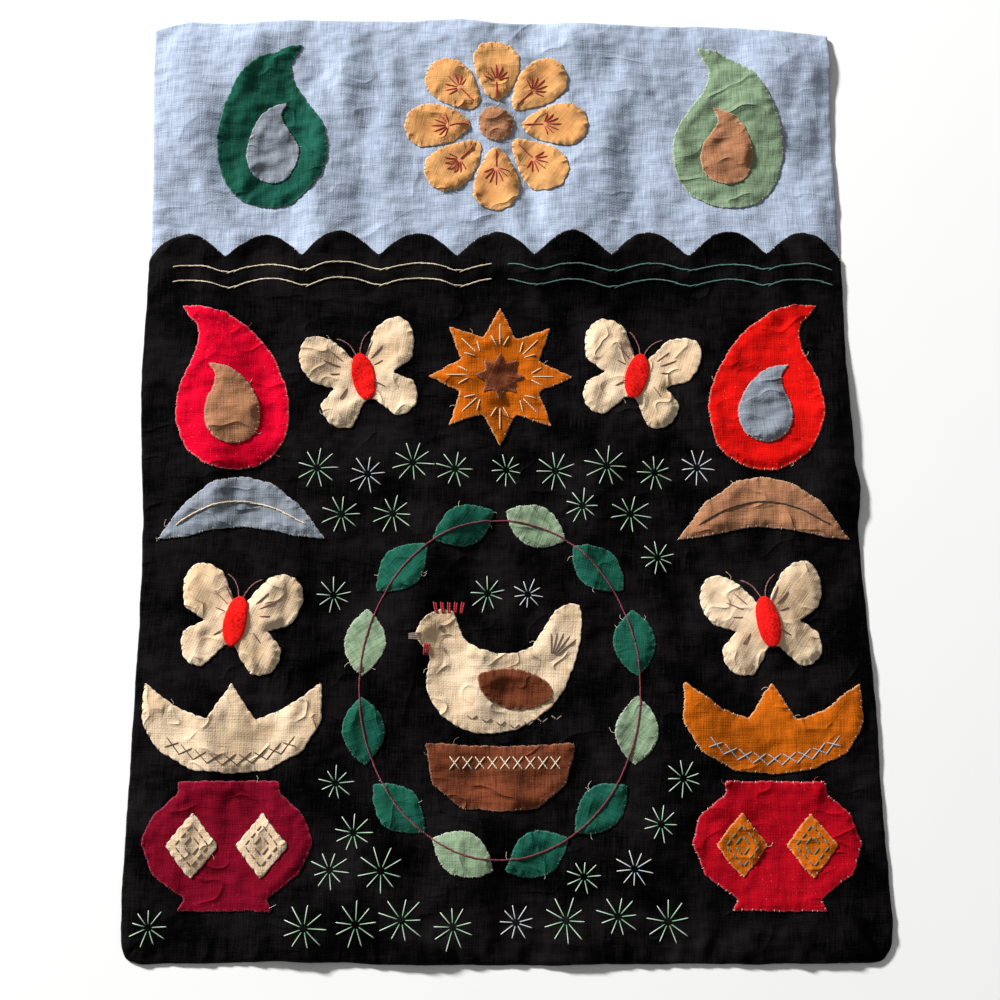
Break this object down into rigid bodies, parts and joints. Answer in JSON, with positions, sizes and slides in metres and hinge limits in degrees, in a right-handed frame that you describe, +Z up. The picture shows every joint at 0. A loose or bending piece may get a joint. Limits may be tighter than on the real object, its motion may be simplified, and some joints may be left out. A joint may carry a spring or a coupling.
{
  "type": "arpillera textile",
  "caption": "Applique cotton textile lying face up, a light blue panel over a black one, with sewn-on cut-outs in bright cottons and felt.",
  "frame": {"origin": "centre of the bounding box at the table that the cloth lies on", "axes": "+X across the cloth, +Y up the cloth towards its blue end, +Z up from the table"},
  "size_m": [0.3792, 0.498, 0.0066],
  "materials": {
    "chambray": "matt light blue chambray cotton",
    "black": "matt black plain-weave cotton",
    "emerald": "matt emerald cotton",
    "crimson": "matt crimson cotton",
    "ochre": "matt orange ochre cotton",
    "vermilion": "matt vermilion cotton",
    "sage": "matt sage green cotton",
    "grey": "matt blue-grey cotton",
    "tan": "matt tan cotton",
    "brown": "matt brown cotton",
    "cream": "matt cream cotton",
    "dark_red": "matt dark red cotton",
    "red": "matt red cotton",
    "golden": "matt golden cotton",
    "leaf": "matt dark green cotton",
    "felt": "fuzzy red wool felt"
  },
  "bodies": {
    "root": {"ground_blue": "chambray", "ground_black": "black", "emerald_drop": "emerald", "emerald_inner": "grey", "sage_drop": "sage", "sage_inner": "tan", "crimson_drop": "crimson", "crimson_inner": "tan", "vermilion_drop": "vermilion", "vermilion_inner": "grey", "petal_1": "golden", "petal_2": "golden", "petal_3": "golden", "petal_4": "golden", "petal_5": "golden", "petal_6": "golden", "petal_7": "golden", "petal_8": "golden", "rosette_disc": "tan", "star": "ochre", "star_centre": "brown", "butterfly_1": "cream", "butterfly_2": "cream", "butterfly_3": "cream", "butterfly_4": "cream", "butterfly_body_1": "felt", "butterfly_body_2": "felt", "butterfly_body_3": "felt", "butterfly_body_4": "felt", "crescent_left": "grey", "crescent_right": "tan", "leaf_1": "leaf", "leaf_2": "leaf", "leaf_3": "sage", "leaf_4": "leaf", "leaf_5": "leaf", "leaf_6": "sage", "leaf_7": "leaf", "leaf_8": "leaf", "leaf_9": "sage", "leaf_10": "leaf", "leaf_11": "leaf", "leaf_12": "sage", "hen": "cream", "hen_wing": "brown", "nest": "brown", "bowl_left": "dark_red", "bloom_left": "cream", "diamond_left_1": "cream", "diamond_left_2": "cream", "bowl_right": "red", "bloom_right": "ochre", "diamond_right_1": "ochre", "diamond_right_2": "ochre"}
  },
  "joints": []
}
